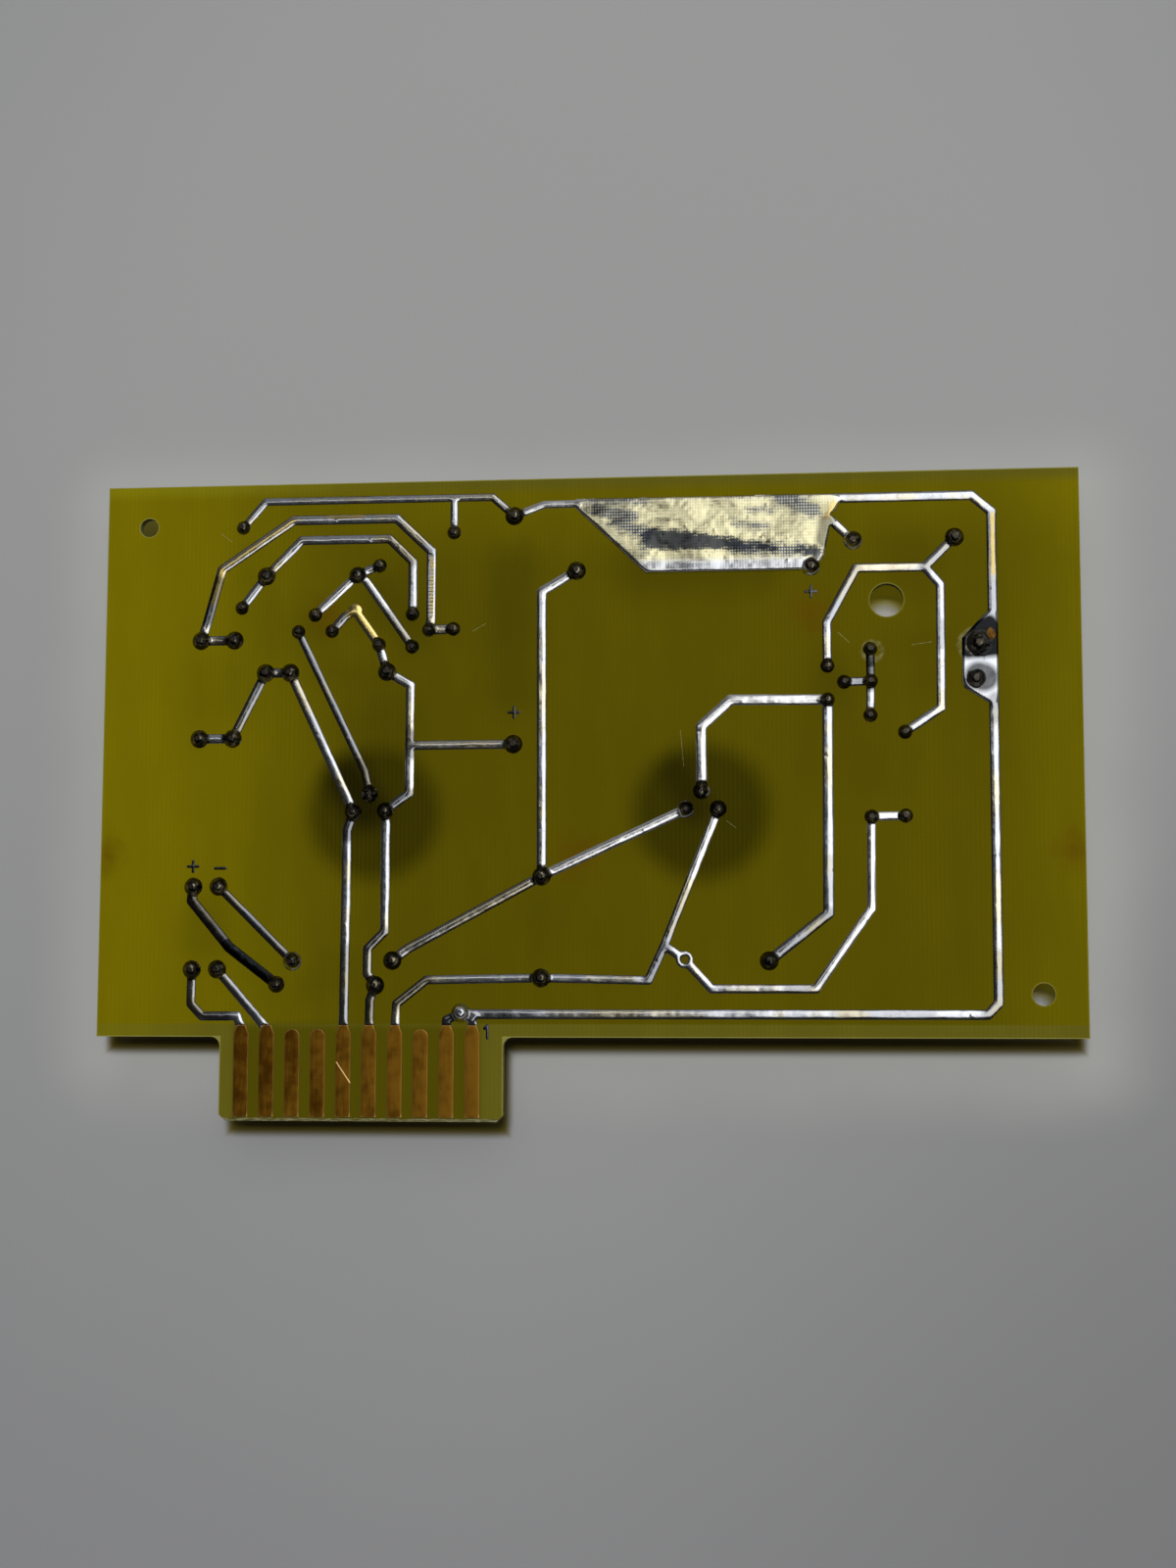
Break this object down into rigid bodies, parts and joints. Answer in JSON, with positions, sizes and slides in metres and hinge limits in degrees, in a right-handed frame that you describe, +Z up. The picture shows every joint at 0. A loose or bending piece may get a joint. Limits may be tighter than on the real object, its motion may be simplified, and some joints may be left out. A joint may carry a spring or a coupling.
{
  "type": "printed circuit board assembly",
  "caption": "Single-sided low-voltage power-supply circuit board with a card-edge tab, lying on its components with the soldered tracks facing up.",
  "frame": {"origin": "on the surface that the board lies on, under the middle of its bounding box", "axes": "+X along the long side, from the card-edge tab's end of the board to the right; +Y from the card-edge tab to the far long edge; +Z up, out of the soldered side"},
  "size_m": [0.1502, 0.0986, 0.0116],
  "materials": {
    "laminate": "translucent yellow-green glass-epoxy, fine weave, satin",
    "bare_copper": "tarnished bare copper",
    "solder": "bright tin-lead solder, slightly uneven",
    "tinned_wire": "dull tinned copper wire",
    "resistor_body": "brown moulded body with painted bands",
    "capacitor_sleeve": "plain drawn aluminium can",
    "rubber_seal": "black rubber",
    "nickel_can": "nickel-plated drawn can",
    "black_anodised": "black anodised",
    "black_epoxy": "moulded black epoxy"
  },
  "bodies": {
    "root": {"bridge_leads": "tinned_wire", "bridge_rectifier": "black_epoxy", "capacitor_1_can": "capacitor_sleeve", "capacitor_1_leads": "tinned_wire", "capacitor_1_seal": "rubber_seal", "capacitor_2_can": "capacitor_sleeve", "capacitor_2_leads": "tinned_wire", "capacitor_2_seal": "rubber_seal", "edge_contacts": "bare_copper", "heat_sink_1": "black_anodised", "heat_sink_2": "black_anodised", "laminate_board": "laminate", "polarity_marks": "solder", "power_transistor_1_can": "nickel_can", "power_transistor_1_leads": "tinned_wire", "power_transistor_2_can": "nickel_can", "power_transistor_2_leads": "tinned_wire", "resistor_01": "resistor_body", "resistor_02": "resistor_body", "resistor_03": "resistor_body", "resistor_04": "resistor_body", "resistor_05": "resistor_body", "resistor_06": "resistor_body", "resistor_07": "resistor_body", "resistor_08": "resistor_body", "resistor_09": "resistor_body", "resistor_10": "resistor_body", "resistor_11": "resistor_body", "resistor_12": "resistor_body", "resistor_13": "resistor_body", "resistor_14": "resistor_body", "resistor_15": "resistor_body", "resistor_leads": "tinned_wire", "small_transistor_1_body": "black_epoxy", "small_transistor_1_leads": "tinned_wire", "small_transistor_2_body": "black_epoxy", "small_transistor_2_leads": "tinned_wire", "small_transistor_3_body": "black_epoxy", "small_transistor_3_leads": "tinned_wire", "solder_joints": "solder", "track_bridge_negative": "solder", "track_bridge_positive": "solder", "track_ground_rail": "solder", "track_negative_base": "solder", "track_negative_bias": "solder", "track_negative_output": "solder", "track_negative_sense": "solder", "track_negative_supply": "solder", "track_positive_base": "solder", "track_positive_driver": "solder", "track_positive_output": "solder", "track_positive_reference": "solder", "track_positive_sense": "solder", "track_positive_supply": "solder", "track_supply_input_1": "solder", "track_supply_input_2": "solder"}
  },
  "joints": []
}
